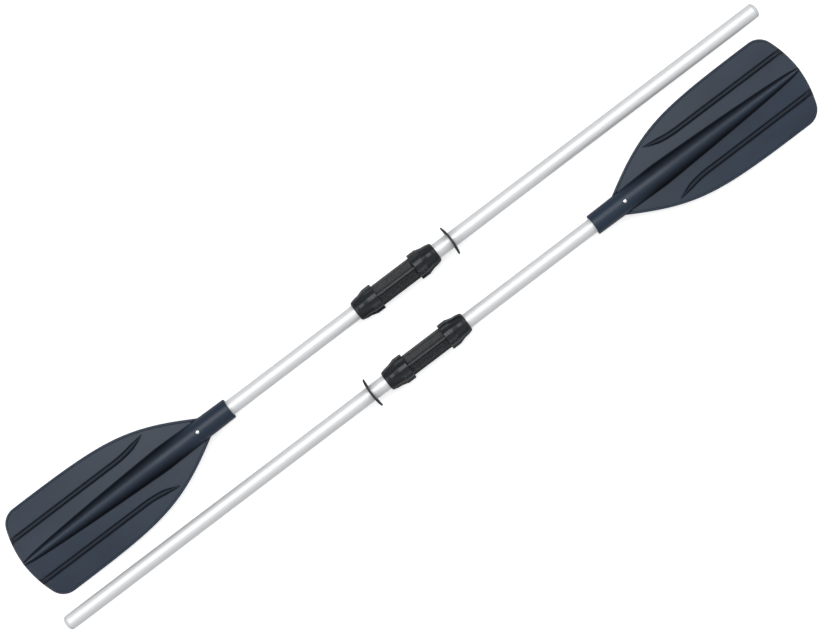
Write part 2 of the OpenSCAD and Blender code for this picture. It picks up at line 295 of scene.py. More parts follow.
def blade_plastic():
    """Navy polypropylene: spark-eroded grain, cloudy gloss, scuffs on the tip and raised edges, and painted
    shade along the spine and the ribs.
    """
    navy_dark, navy_light = tint(0.0075, 0.0185, 0.038), tint(0.011, 0.026, 0.050)
    painted_shade_navy, unlit_navy = tint(0.0012, 0.003, 0.008), tint(0.002, 0.004, 0.009)
    scuff_grey = tint(0.075, 0.092, 0.115)
    f = Finish("blade_plastic")
    cloud = f.noise(9, detail=4)
    flow = f.noise(26, detail=3, stretch=(0.3, 1, 1))
    speck = f.noise(700, detail=2)
    grain = f.noise(2400, detail=2)
    # Painted shade: the crease mark is high at the spine's foot and flanks and along the ribs.
    crease = f.marked("crease")
    worn = f.marked("wear") * f.noise(240, detail=5, rough=0.7).between(0.42, 0.66)
    hairline = f.noise(1500, detail=1, stretch=(0.05, 1, 1)).between(0.70, 0.78)
    scratch = hairline * f.noise(11).between(0.45, 0.7)
    mottle = cloud * 0.6 + flow * 0.4
    colour = f.mix(mottle.between(0.3, 0.7), navy_dark, navy_light)
    # Painted shade: the colour goes to a near-black navy where the crease mark is high.
    colour = f.mix(crease * 0.92, colour, painted_shade_navy)
    colour = f.mix(worn * 0.3 + scratch * 0.1, colour, scuff_grey)
    gloss = 0.33 + (mottle - 0.5) * 0.2 + (speck - 0.5) * 0.10 + worn * 0.16 + scratch * 0.1
    gloss = gloss + crease * 0.25
    normal = f.bump(grain * 0.55 + speck * 0.45, 0.05 * mm, 0.55)
    normal = f.bump(flow, 0.25 * mm, 0.25, normal)
    dull = 0.8 + (speck - 0.5) * 0.2
    # Painted shade: a dull, near-black unlit shader, mixed in by the crease mark.
    sockets = {"Base Color": unlit_navy, "Roughness": dull, "Specular IOR Level": 0.08}
    unlit = f.node("BsdfPrincipled", None, sockets)
    return f.surface(unlit, crease * 0.8, Base_Color=colour, Roughness=gloss, Normal=normal, IOR=1.49)


def tube_aluminium():
    """Satin anodised tube, with the drawing lines that run along it."""
    f = Finish("tube_aluminium")
    lines = f.noise(950, detail=4, stretch=(0.006, 1, 1))
    satin = f.noise(2600, detail=2)
    cloud = f.noise(14, detail=3)
    nick = f.noise(300, detail=2, stretch=(0.12, 1, 1)).between(0.70, 0.80)
    colour = f.mix(lines * 0.5 + cloud * 0.5, tint(0.86, 0.87, 0.88), tint(0.93, 0.935, 0.94))
    colour = f.mix(nick * 0.25, colour, tint(0.62, 0.63, 0.65))
    gloss = 0.46 + (cloud - 0.5) * 0.12 + (lines - 0.5) * 0.14 + (satin - 0.5) * 0.05 + nick * 0.06
    normal = f.bump(lines * 0.7 + satin * 0.3, 0.03 * mm, 0.5)
    return f.surface(Base_Color=colour, Roughness=gloss, Metallic=0.52, Normal=normal)


def moulded_black(name, dark, light, gloss_middle, grain_scale=1900, dust=0.0):
    """Black moulded plastic or rubber: fine grain, cloudy gloss and worn edges, and on the sleeve a painted
    sheen on the ribbed pads.
    """
    f = Finish(name)
    cloud = f.noise(60, detail=3)
    speck = f.noise(800, detail=3)
    grain = f.noise(grain_scale, detail=2)
    rubbed_and_sheen = f.marked("wear") * f.noise(420, detail=4).between(0.4, 0.7)
    colour = f.mix(cloud * 0.6 + speck * 0.4, dark, light)
    # Lighter where worn, and on the sleeve's ribbed pads a painted sheen.
    colour = f.mix(rubbed_and_sheen * 0.45 + speck.between(0.62, 0.8) * dust, colour, tint(0.11, 0.12, 0.13))
    gloss = gloss_middle + (cloud - 0.5) * 0.2 + (speck - 0.5) * 0.12 + rubbed_and_sheen * 0.12
    normal = f.bump(grain * 0.6 + speck * 0.4, 0.04 * mm, 0.5)
    return f.surface(Base_Color=colour, Roughness=gloss, Normal=normal, IOR=1.5)


def bright_steel(name, dark, light, gloss_middle):
    """Bright spring or button steel with fine turning marks and specks."""
    f = Finish(name)
    lines = f.noise(1700, detail=3, stretch=(1, 0.05, 1))
    cloud = f.noise(160, detail=3)
    pits = f.cells(1100).between(0.0, 0.18)
    gloss = gloss_middle + (lines - 0.5) * 0.12 + (cloud - 0.5) * 0.1 + (1 - pits) * 0.1
    normal = f.bump(lines * 0.7 + pits * 0.3, 0.01 * mm, 0.4)
    return f.surface(Base_Color=f.mix(cloud, dark, light), Roughness=gloss, Metallic=1.0, Normal=normal)


def plug_rubber():
    """Closed-cell foam rubber: small cells and a dusty skin."""
    f = Finish("plug_rubber")
    cell = f.cells(900)
    cloud = f.noise(90, detail=3)
    colour = f.mix(cell.between(0.1, 0.6), tint(0.012, 0.013, 0.014), tint(0.045, 0.047, 0.05))
    normal = f.bump(cell, 0.12 * mm, 0.7)
    return f.surface(Base_Color=colour, Roughness=0.8 + (cloud - 0.5) * 0.2, Normal=normal)


def cap_plastic():
    """Silver-grey cap with a satin moulded skin."""
    f = Finish("cap_plastic")
    cloud = f.noise(70, detail=3)
    grain = f.noise(1600, detail=2)
    rubbed_and_sheen = f.marked("wear") * f.noise(380, detail=4).between(0.4, 0.7)
    colour = f.mix(cloud, tint(0.60, 0.61, 0.62), tint(0.72, 0.73, 0.74))
    colour = f.mix(rubbed_and_sheen * 0.4, colour, tint(0.36, 0.37, 0.38))
    gloss = 0.42 + (cloud - 0.5) * 0.18 + rubbed_and_sheen * 0.2
    return f.surface(Base_Color=colour, Roughness=gloss, Normal=f.bump(grain, 0.04 * mm, 0.5))


FINISHES = {
    "blade_plastic": blade_plastic(),
    "tube_aluminium": tube_aluminium(),
    "plug_rubber": plug_rubber(),
    "button_steel": bright_steel("button_steel", tint(0.80, 0.81, 0.82), tint(0.90, 0.90, 0.90), 0.2),
    "spring_steel": bright_steel("spring_steel", tint(0.42, 0.44, 0.48), tint(0.58, 0.59, 0.62), 0.28),
    "sleeve_plastic": moulded_black(
        "sleeve_plastic", tint(0.006, 0.009, 0.010), tint(0.011, 0.015, 0.017), 0.3),
    "clamp_plastic": moulded_black(
        "clamp_plastic", tint(0.03, 0.032, 0.034), tint(0.045, 0.047, 0.05), 0.45),
    "nut_plastic": moulded_black(
        "nut_plastic", tint(0.003, 0.006, 0.008), tint(0.006, 0.010, 0.013), 0.22),
    "cap_plastic": cap_plastic(),
    "ring_rubber": moulded_black(
        "ring_rubber", tint(0.007, 0.012, 0.012), tint(0.014, 0.02, 0.02), 0.45, grain_scale=900, dust=0.2),
}


def mark(made, oar, name, amount):
    """Gives each point of a piece a share from 0 to 1, such as how worn it is and where sheen and shade are
    painted, from its distances in the oar.
    """
    shares = made.data.attributes.new(name, "FLOAT", "POINT")
    values = []
    for v in made.data.vertices:
        s = oar.way * (v.co.x - oar.tip)
        y = oar.way * (v.co.y - oar.shaft.y)
        values.append(min(1.0, max(0.0, amount(s, y, v.co.z - oar.shaft.z))))
    shares.data.foreach_set("value", values)


# ---------------------------------------------------------------- blade

class Blade:
    """The moulded blade: outline, spoon curve, spine, ribs, rim and socket, as distances in metres."""

    # The outline, from the tip's arc round its corner and along the side to the shoulder.
    tip_radius = 176 * mm
    corner_radius = 30 * mm
    side_hold = 144.4 * mm
    side_pull = 104 * mm
    side_lean = 2.5 * mm

    # The shell: half thicknesses of the web and the rim, and how far the rim and its band reach in.
    web = 1.5 * mm
    rim = 2.5 * mm
    rim_inside = 3.2 * mm
    web_starts = 4.2 * mm
    band = 5.6 * mm
    edge_round = 1.5 * mm

    # The spoon's slope to each side of the middle, and the places along the shaft.
    roof = math.radians(30)
    button_to_shoulder = 12 * mm
    root_to_tube = 23 * mm
    socket_wall = 5.1 * mm

    # The spine.
    spine_tip_half = 2 * mm
    spine_depth = 2.2 * mm
    spine_blunt = 20 * mm
    spine_lift = 60 * mm

    # The ribs, one on each side of the spine, which curl out towards their far end.
    rib_offset = 40.5 * mm
    rib_start = 13 * mm
    rib_bend_to_shoulder = 149 * mm
    rib_end_to_shoulder = 86 * mm
    rib_curl = 190 * mm
    rib_width = 3.1 * mm
    rib_point = 26 * mm
    rib_fade = 14 * mm
    rib_rise_run = 8 * mm
    rib_height = 1.75 * mm
    rib_low = 1 * mm
    rib_groove = 0.9 * mm
    groove_reach = 1.5

    def __init__(self, oar):
        _, self.mouth, self.half_width = oar.reach("blade")
        button_near, button_far, _ = oar.reach("snap_button")
        self.button_at = (button_near + button_far) / 2
        self.shoulder = self.button_at + self.button_to_shoulder
        self.socket_start, _, self.tube_r = oar.reach("lower_tube")
        self.root = self.socket_start - self.root_to_tube
        self.root_r = oar.heights("blade")[1]
        self.mouth_r = self.tube_r + self.socket_wall
        self.corner_y = self.half_width - self.corner_radius
        run = self.tip_radius - self.corner_radius
        self.corner_at = self.tip_radius - math.sqrt(run ** 2 - self.corner_y ** 2)
        self.tip_angle = math.asin(self.corner_y / run)
        lowest = ((self.shoulder - self.corner_at) * math.cos(self.roof)
                  + self.corner_y * math.sin(self.roof) + self.corner_radius)
        drop = oar.shaft.z
        self.spoon_r = (lowest ** 2 + drop ** 2 - self.rim ** 2) / (2 * (drop - self.rim))
        self.rib_bend = self.shoulder - self.rib_bend_to_shoulder
        self.rib_end = self.shoulder - self.rib_end_to_shoulder

    def spoon(self, s, y):
        """Height of the middle of the web."""
        d = (self.shoulder - s) * math.cos(self.roof) + abs(y) * math.sin(self.roof)
        return math.sqrt(self.spoon_r ** 2 - d ** 2) - self.spoon_r if d > 0 else 0.0

    def side(self, t, inset):
        """A point on the side from the tip corner (0) to the shoulder (1), moved in by inset."""
        p = [Vector((self.corner_at, self.half_width)),
             Vector((self.shoulder - self.side_hold, self.half_width)),
             Vector((self.shoulder - self.side_pull, self.half_width - self.side_lean)),
             Vector((self.shoulder, self.mouth_r))]
        u = 1 - t
        point = u ** 3 * p[0] + 3 * t * u * u * p[1] + 3 * t * t * u * p[2] + t ** 3 * p[3]
        along = u * u * (p[1] - p[0]) + 2 * t * u * (p[2] - p[1]) + t * t * (p[3] - p[2])
        along = along.normalized()
        return point + inset * Vector((along.y, -along.x))

    def corner(self, t, inset):
        """A point on the tip corner, from the tip edge (0) to the side (1), moved in by inset."""
        a = self.tip_angle + (math.pi / 2 - self.tip_angle) * t
        r = self.corner_radius - inset
        return Vector((self.corner_at - r * math.cos(a), self.corner_y + r * math.sin(a)))

    def spine_half(self, s):
        """Half-width of the spine, which grows into the socket."""
        if s < self.root:
            swell = (self.root_r - self.spine_tip_half) * (max(s, 0) / self.root) ** 0.6
            return (self.spine_tip_half + swell) * (0.8 + 0.2 * smooth_step(0, self.spine_blunt, s))
        taper = (self.root_r - self.mouth_r) / (self.mouth - self.root)
        return self.root_r - taper * (s - self.root)

    def spine_axis(self, s):
        """Height of the spine's centreline: on the web at the tip, on the shaft at the socket."""
        return self.spoon(s, 0) * (1 - smooth_step(self.root - self.spine_lift, self.root, s))

    def rib_y(self, s):
        """Distance of the middle of the rib from the middle of the blade."""
        past = max(0.0, min(s, self.rib_end) - self.rib_bend)
        return self.rib_offset + self.rib_curl - math.sqrt(self.rib_curl ** 2 - past ** 2)

    def rib_half(self, s):
        """Half-width of the rib, even along its length and drawn to a point where it curls out."""
        left = max(0.0, self.rib_end - s) / self.rib_point
        return self.rib_width * min(1.0, max(0.12, left)) ** 0.7

    def rib_reach(self, s, y):
        """Distance from the middle of the rib, as a share of the rib's half-width."""
        return abs(abs(y) - self.rib_y(s)) / self.rib_half(s)

    def rib_rise(self, s, y):
        """Height of the stiffening rib's bead above the web, with a fine groove at its foot."""
        u = self.rib_reach(s, y)
        fade = 1 - smooth_step(self.rib_end - self.rib_fade, self.rib_end, s)
        start = smooth_step(self.rib_start, self.rib_start + self.rib_rise_run, s)
        if u < 1:
            crown = (1 - u ** 2.4) ** 0.55
            return (self.rib_low + (self.rib_height - self.rib_low) * start) * fade * crown
        if u < self.groove_reach:
            return -self.rib_groove * fade * start * math.sin(math.pi * (u - 1) / (self.groove_reach - 1))
        return 0.0

    def band_half(self, inset):
        """Half thickness of the blade at a distance in from its edge: rounded edge, raised rim, then web."""
        if inset < self.edge_round:
            return self.rim * math.sqrt(1 - (1 - inset / self.edge_round) ** 2)
        return self.web + (self.rim - self.web) * (1 - smooth_step(self.rim_inside, self.web_starts, inset))

    def skin_height(self, s, y, inset, face):
        """Height of the top (face 1) or underside (face -1) of the blade at a point."""
        half = self.band_half(inset)
        if inset >= self.band:
            half += self.rib_rise(s, y)
        web = self.spoon(s, y) * (1 if s < self.shoulder else 0) + face * half
        e = self.spine_half(s)
        if abs(y) > e:
            return web
        grown = smooth_step(0, self.root, s)
        power = 1.72 + 0.28 * grown
        round_share = max(0.0, 1 - (abs(y) / e) ** power) ** (1 / power)
        if face > 0:
            ridge = self.spine_axis(s) + e * (0.92 + 0.08 * grown) * round_share
            return max(web, ridge)
        deep = self.spine_depth + (self.root_r - self.spine_depth) * s / self.root if s < self.root else e
        return min(web, self.spine_axis(s) - deep * round_share)


BAND_INSETS = [inset * mm for inset in (4.8, 4.2, 3.85, 3.5, 3.2, 2.4, 1.5, 0.8, 0.4, 0.16, 0.04, 0.0)]
CORNER_ROWS = 22
SIDE_ROWS = 150
SOCKET_ROWS = 16
SPINE_COLUMNS = 14
SPINE_FOOT = 2.4 * mm
SOCKET_LIP = 1.2 * mm
ROWS_BOWED = 14 * mm
ROWS_STRAIGHT = 110 * mm


def row_breaks(blade, s, end_y):
    """Where a row across half the blade meets the spine, the rib and the band, in order."""
    e, rib, half = blade.spine_half(s), blade.rib_y(s), blade.rib_half(s)
    groove = blade.groove_reach * half
    breaks = [0, e, e + SPINE_FOOT, rib - groove, rib - half, rib + half, rib + groove, end_y]
    breaks = [min(b, end_y) for b in breaks]
    for k in range(1, len(breaks)):
        breaks[k] = max(breaks[k], breaks[k - 1])
    return breaks


def row_columns(breaks):
    """The columns of one row: round over the spine, close at the creases, even on the web."""
    counts = (SPINE_COLUMNS, 3, 8, 3, 12, 3, 9)
    ys = [0.0]
    for k, count in enumerate(counts):
        low, high = breaks[k], breaks[k + 1]
        for i in range(1, count + 1):
            share = math.sin(math.pi / 2 * i / count) if k == 0 else i / count
            ys.append(low + (high - low) * share)
    return ys


def tip_bulge(blade, y):
    """How far the tip's arc, taken at the band's inner edge, falls back at a distance from the middle."""
    reach = blade.tip_radius - blade.band
    return reach - math.sqrt(reach ** 2 - y ** 2)


def blade_rows(blade):
    """Each row's distance at the middle, bow, end on the band and the band's own points, tip to shoulder."""
    rows = []
    ends = [(blade.corner, i / CORNER_ROWS) for i in range(CORNER_ROWS)]
    ends += [(blade.side, i / SIDE_ROWS) for i in range(SIDE_ROWS + 1)]
    for place, t in ends:
        inner = place(t, blade.band)
        bow = 1 - smooth_step(ROWS_BOWED, ROWS_STRAIGHT, inner.x)
        middle = inner.x - bow * tip_bulge(blade, inner.y)
        rows.append((middle, bow, inner, [place(t, inset) for inset in BAND_INSETS]))
    return rows


def blade_skin(blade, bm, face, side):
    """The top or underside of one half of the blade, with the socket's outside and bore."""
    grid = []

    def vertex(s, y, inset):
        y = max(y, 0.0)
        return bm.verts.new((s, side * y, blade.skin_height(s, y, inset, face)))

    for middle, bow, inner, band in blade_rows(blade):
        end_y = max(inner.y, blade.spine_half(inner.x))
        columns = row_columns(row_breaks(blade, (middle + inner.x) / 2 if bow > 0 else inner.x, end_y))
        line = [vertex(middle + bow * tip_bulge(blade, min(y, inner.y)), y, blade.band) for y in columns]
        line += [edge_vertex(blade, vertex, point, inset) for point, inset in zip(band, BAND_INSETS)]
        grid.append(line)
    outside = [blade.shoulder + (blade.mouth - SOCKET_LIP - blade.shoulder) * i / SOCKET_ROWS
               for i in range(1, SOCKET_ROWS + 1)]
    for s, r in [(s, blade.spine_half(s)) for s in outside] + socket_lip(blade):
        grid.append(socket_row(bm, s, r, face, side, len(line)))
    join_rows(bm, grid)
    tip_band(blade, bm, grid[0][:len(columns)], face, side)


def join_rows(bm, rows):
    """Faces between each row of vertices and the next."""
    for one, two in zip(rows, rows[1:]):
        for k in range(len(one) - 1):
            bm.faces.new((one[k], one[k + 1], two[k + 1], two[k]))


def edge_vertex(blade, vertex, point, inset):
    """A point of the raised band, sunk into the socket where the outline meets it."""
    e = blade.spine_half(point.x)
    if point.y < e:
        return vertex(point.x, e, 0.0)
    return vertex(point.x, point.y, inset)


def socket_row(bm, s, r, face, side, count):
    """A quarter ring of the socket: the web's and the band's columns have all come together at its side."""
    line = []
    for k in range(count):
        a = math.pi / 2 * min(1.0, k / SPINE_COLUMNS)
        line.append(bm.verts.new((s, side * r * math.sin(a), face * r * math.cos(a))))
    return line


def socket_lip(blade):
    """Distances and radii that round the socket's mouth and run down its bore to the tube's inner end."""
    mouth, r = blade.mouth, blade.mouth_r
    bore = blade.tube_r + 0.05 * mm
    straight_bore = 20 * mm
    outside = [(mouth - 0.5 * mm, r - 0.1 * mm), (mouth - 0.12 * mm, r - 0.45 * mm), (mouth, r - 1 * mm)]
    inside = [(mouth, bore + 0.9 * mm), (mouth - 0.15 * mm, bore + 0.4 * mm), (mouth - 0.6 * mm, bore)]
    bottom = [(mouth - straight_bore, bore), (blade.socket_start, bore), (blade.socket_start, 0)]
    return outside + inside + bottom


def tip_band(blade, bm, inner_row, face, side):
    """The raised band along the tip's edge, which carries on from the first row."""
    rows = [inner_row]
    for inset in BAND_INSETS:
        line = []
        for v in inner_row:
            a = math.atan2(abs(v.co.y), blade.tip_radius - v.co.x)
            r = blade.tip_radius - inset
            s, y = blade.tip_radius - r * math.cos(a), r * math.sin(a)
            line.append(bm.verts.new((s, side * y, blade.skin_height(s, y, inset, face))))
        rows.append(line)
    join_rows(bm, rows)


BUTTON_HOLE_R = 3.18 * mm
BUTTON_HOLE_BOTTOM, BUTTON_HOLE_TOP = 10 * mm, 24 * mm


def drill_button_hole(made, oar, blade):
    """Cuts the snap button's hole through the top wall of the socket."""
    drill = [(BUTTON_HOLE_BOTTOM, 0), (BUTTON_HOLE_BOTTOM, BUTTON_HOLE_R),
             (BUTTON_HOLE_TOP, BUTTON_HOLE_R), (BUTTON_HOLE_TOP, 0)]
    drill_mesh = closed_mesh(oar, turned(drill, 48, upright_at=blade.button_at), "button_drill")
    cutter = add_object("button_drill", drill_mesh)
    cut = made.modifiers.new("button_hole", "BOOLEAN")
    cut.operation = "DIFFERENCE"
    cut.solver = "EXACT"
    cut.object = cutter
    bpy.context.view_layer.update()
    drilled = bpy.data.meshes.new_from_object(made.evaluated_get(bpy.context.evaluated_depsgraph_get()))
    made.modifiers.remove(cut)
    made.data = drilled
    bpy.data.objects.remove(cutter)
    bpy.data.meshes.remove(drill_mesh)


def make_blade(oar):
    blade = Blade(oar)
    bm = bmesh.new()
    for face in (1, -1):
        for side in (1, -1):
            blade_skin(blade, bm, face, side)
    made = fit_piece(oar, "blade", bm, "blade_plastic", 38)
    drill_button_hole(made, oar, blade)

    def wear(s, y, z):
        """Scuffs along the tip's edge, and on what stands proud of the web near it."""
        tip_edge = blade.tip_radius - math.sqrt(blade.tip_radius ** 2 - y * y)
        tip = 1 - smooth_step(0, 9 * mm, s - tip_edge)
        proud = abs(z - blade.spoon(s, y)) - 2.2 * mm if s < blade.root else 0
        near_tip = 1 - smooth_step(40 * mm, 200 * mm, s)
        return 0.75 * tip + 0.35 * smooth_step(0, 1.2 * mm, proud) * near_tip

    def crease(s, y, z):
        """Painted shade: the inside corners at the foot of the spine and the ribs, the spine's steep flanks,
        and the ribs' beads at half strength, darkened to stand in for the little light that reaches them.
        """
        if s > blade.shoulder - 6 * mm:
            return 0
        rib = 0
        if s <= blade.rib_end:
            u = blade.rib_reach(s, y)
            groove, groove_half, crest = 1.15, 0.5, 0.5
            rib = 1 - smooth_step(0, 1, abs(u - groove) / groove_half)
            if u < groove:
                rib = max(rib, crest)
        e = blade.spine_half(s)
        fade = 1 - smooth_step(blade.root, blade.shoulder, s)
        inward = (e - abs(y)) / e
        dark_edge, flank_reach = 0.12, 0.72
        if inward <= 0:
            spine = 1 - smooth_step(0, 1.6 * mm, abs(y) - e)
        elif inward <= dark_edge:
            spine = 1
        else:
            spine = max(0.0, 1 - (inward - dark_edge) / flank_reach)
        return max(rib, fade * spine)

    mark(made, oar, "wear", wear)
    # The crease mark carries painted shade into the blade's finish.
    mark(made, oar, "crease", crease)


# ---------------------------------------------------------------- coupling

SLEEVE_WALL = 5.85 * mm
RIB_PITCH = 3 * mm
RIB_GROOVE = 0.85 * mm

# The outline of one fine rib: shares of the pitch, and how deep in the groove it is there.
RIB_OUTLINE = ((0.06, 1.0), (0.16, 0.75), (0.24, 0.12), (0.34, 0),
               (0.60, 0), (0.70, 0.12), (0.78, 0.75), (0.88, 1.0))

# Angles from the middle of a smooth strip: its edge, the groove's far edge, and the facet beyond it.
STRIPS = 4
STRIP_EDGE = 0.10
GROOVE_EDGE = 0.24
GROOVE_DEPTH = 1.3 * mm
FACET_MIDDLE = 0.28
FACET_HALF = 0.52


def from_strip(a):
    """Angle between a and the middle of the nearest smooth strip."""
    step = 2 * math.pi / STRIPS
    return abs((a + step / 2) % step - step / 2)


def make_sleeve(oar):
    """Ribbed sleeve: fine ribs right round, broken by smooth strips with a groove on each side."""
    near, far, _ = oar.reach("coupling_sleeve")
    middle = (near + far) / 2
    _, nut_side, _ = oar.reach("lower_nut")
    bare = middle - nut_side + 0.5 * mm
    tube_r = oar.reach("lower_tube")[2]
    outer_r = tube_r + SLEEVE_WALL
    thread_r, bore, stop_r = outer_r - 0.35 * mm, tube_r + 0.08 * mm, tube_r - 2 * mm
    mouth_r, lip_r = bore + 1.6 * mm, bore + 3 * mm
    chamfer, mouth_depth, half_stop = 0.4 * mm, 10 * mm, 2 * mm
    ribs = []
    for i in range(int(2 * bare / RIB_PITCH + 0.001)):
        start = -bare + i * RIB_PITCH
        for share, drop in RIB_OUTLINE:
            ribs.append((middle + start + share * RIB_PITCH, outer_r - drop * RIB_GROOVE))
    outer = [(near, lip_r), (near, thread_r - chamfer), (near + chamfer, thread_r), (middle - bare, thread_r)]
    outer += ribs
    outer += [(middle + bare, thread_r), (far - chamfer, thread_r), (far, thread_r - chamfer), (far, lip_r)]
    end = far - middle
    inner = [(end - mouth_depth, mouth_r), (end - mouth_depth, bore), (half_stop, bore), (half_stop, stop_r)]
    profile = outer + [(middle + s, r) for s, r in inner] + [(middle - s, r) for s, r in reversed(inner)]

    def strips(s, r, a):
        """Leaves the strips round, sinks a groove beside them and cuts each pad in between to two facets."""
        if r < thread_r - 0.8 * mm or abs(s - middle) > bare - 0.3 * mm:
            return r
        off = from_strip(a)
        if off < STRIP_EDGE:
            return outer_r
        facet = max(0.0, outer_r - outer_r * math.cos(FACET_HALF) / math.cos(off - FACET_MIDDLE))
        facet *= smooth_step(STRIP_EDGE, STRIP_EDGE + 0.05, off)
        if off < GROOVE_EDGE:
            across = (off - STRIP_EDGE) / (GROOVE_EDGE - STRIP_EDGE)
            return outer_r - facet - GROOVE_DEPTH * math.sin(math.pi * across) ** 0.5
        return r - facet

    made = fit_piece(oar, "coupling_sleeve", turned(profile, 160, strips), "sleeve_plastic", 32)

    def wear(s, y, z):
        """Lightens the strips' raised faces, and the ribbed pads between them as a painted sheen for the
        light they catch.
        """
        strip = smooth_step(outer_r - 0.2 * mm, outer_r, math.hypot(y, z))
        # Painted sheen: the ribbed pads between the strips are lightened as if they caught the light.
        pad = smooth_step(GROOVE_EDGE, 0.34, from_strip(math.atan2(y, z)))
        return max(0.5 * strip, 0.55 * pad)

    mark(made, oar, "wear", wear)


FLUTES = 8
FLUTE_DEPTH = 1.5 * mm
FLUTE_HALF = 0.6
FLUTE_TURN = math.radians(8)


def make_nut(oar, piece, outward):
    """Clamp nut: fluted collar, sloping shoulder, ridges that fade along the body, rounded end."""
    near, far, collar_r = oar.reach(piece)
    start = near if outward > 0 else far
    length = far - near
    tube_r = oar.reach("lower_tube")[2]
    sleeve_r = tube_r + SLEEVE_WALL
    thread_bore, chamber_r, mouth_r = sleeve_r - 0.05 * mm, tube_r + 3.08 * mm, tube_r + 0.4 * mm
    waist_r, end_r = sleeve_r + 1.3 * mm, sleeve_r - 0.85 * mm
    collar_end, waist = 16.5 * mm, 25.5 * mm
    chamber_start, chamber_end = 20.5 * mm, 35.6 * mm
    end_round = 4.5 * mm
    outer = [(0, collar_r - 0.9 * mm), (0.9 * mm, collar_r), (collar_end - 0.8 * mm, collar_r),
             (collar_end, collar_r - 0.7 * mm), (waist - 2 * mm, waist_r + 0.55 * mm),
             (waist, waist_r - 0.05 * mm), (length - 9 * mm, (waist_r + end_r) / 2 + 0.15 * mm)]
    for k in range(7):
        a = math.radians(15 * k)
        along, out = end_round * math.sin(a), end_round * math.cos(a)
        outer.append((length - end_round + along, end_r - end_round + out))
    inner = [(length, mouth_r + 0.5 * mm), (length - 0.5 * mm, mouth_r), (chamber_end, mouth_r),
             (chamber_end, chamber_r), (chamber_start, chamber_r), (chamber_start, thread_bore),
             (0, thread_bore)]
    profile = eased(outer + inner, 0.5 * mm, 2)
    fine = []
    for one, two in zip(profile, profile[1:] + profile[:1]):
        outside = min(one.y, two.y) > waist_r - 3 * mm
        pieces = max(1, int((two - one).length / (1.6 * mm))) if outside else 1
        fine += [one + (two - one) * k / pieces for k in range(pieces)]

    def flutes(t, r, a):
        """Sinks the flutes between the ridges, deepest in the collar and gone at the far end."""
        if r < sleeve_r - 0.3 * mm and t < length - 8 * mm or r < mouth_r + 1.5 * mm:
            return r
        step = 2 * math.pi / FLUTES
        off = abs((a - oar.way * FLUTE_TURN) % step - step / 2) / (step / 2)
        share = max(0.0, 1 - (off / FLUTE_HALF) ** 2) ** 1.1
        shallower = 1 - 0.4 * smooth_step(collar_end, waist, t)
        fade = 1 - smooth_step(waist, length - 2 * mm, t)
        return r - FLUTE_DEPTH * shallower * fade * share

    bm = turned(fine, 144, flutes)
    for v in bm.verts:
        v.co.x = start + outward * v.co.x
    made = fit_piece(oar, piece, bm, "nut_plastic", 32)
    rubbed_from = collar_r - 0.7 * mm
    mark(made, oar, "wear", lambda s, y, z: 0.8 * smooth_step(rubbed_from, collar_r, math.hypot(y, z)))


# ---------------------------------------------------------------- small pieces

def make_drip_ring(oar):
    """Dished rubber ring with a blunt rim and a short hub on the tube. Its sides lag behind its middle."""
    near, far, rim = oar.reach("drip_ring")
    bore = oar.reach("upper_tube")[2] + 0.08 * mm
    hub_r, thick, lag = bore + 2.4 * mm, 3 * mm, 1.9 * mm
    middle_r = (hub_r + rim) / 2
    hub_end = far - lag
    profile = [(near, bore), (near, rim - 0.5 * mm), (near + 0.5 * mm, rim), (near + thick - 0.5 * mm, rim),
               (near + thick, rim - 0.7 * mm), (near + thick + 0.7 * mm, middle_r),
               (hub_end, hub_r + 0.6 * mm), (hub_end, bore)]
    bm = turned(eased(profile, 0.5 * mm), 128)
    for v in bm.verts:
        v.co.x += lag * (1 - (v.co.y / rim) ** 2)
    made = fit_piece(oar, "drip_ring", bm, "ring_rubber", 40)
    mark(made, oar, "wear", lambda s, y, z: 0.6 * smooth_step(rim - 1.2 * mm, rim, math.hypot(y, z)))


def make_end_cap(oar):
    """Push-in cap: plain stem in the tube, a thin lip and a low dome."""
    near, far, _ = oar.reach("end_cap")
    _, lip, tube_r = oar.reach("upper_tube")
    stem_r, base_r = tube_r - 1.25 * mm, tube_r - 0.2 * mm
    dome_start = lip + 1.2 * mm
    rise = far - lip - 1.2 * mm
    profile = [(near, 0), (near, stem_r - 1 * mm), (near + 1.5 * mm, stem_r), (lip, stem_r),
               (lip, base_r - 0.5 * mm), (lip + 0.35 * mm, base_r - 0.1 * mm), (dome_start, base_r)]
    for k in range(1, 10):
        a = math.radians(10 * k)
        profile.append((dome_start + rise * math.sin(a), base_r * math.cos(a) ** 0.82 if k < 9 else 0))
    made = fit_piece(oar, "end_cap", turned(profile, 96), "cap_plastic", 40)
    mark(made, oar, "wear", lambda s, y, z: 0.7 * smooth_step(far - 2 * mm, far, s))


def make_button(oar):
    """Snap button: domed head on a stem, over the flange that stops it inside the tube."""
    near, far, flange_r = oar.reach("snap_button")
    bottom, top = oar.heights("snap_button")
    head_r, flange, chamfer, dome = flange_r - 1.3 * mm, 1 * mm, 0.2 * mm, 1.1 * mm
    profile = [(bottom, 0), (bottom, flange_r - chamfer), (bottom + chamfer, flange_r),
               (bottom + flange - chamfer, flange_r), (bottom + flange, flange_r - chamfer),
               (bottom + flange, head_r), (top - dome, head_r)]
    for k in range(1, 9):
        a = math.radians(11.25 * k)
        profile.append((top - dome + dome * math.sin(a), head_r * math.cos(a) ** 0.7 if k < 8 else 0))
    fit_piece(oar, "snap_button", turned(profile, 64, upright_at=(near + far) / 2), "button_steel", 40)


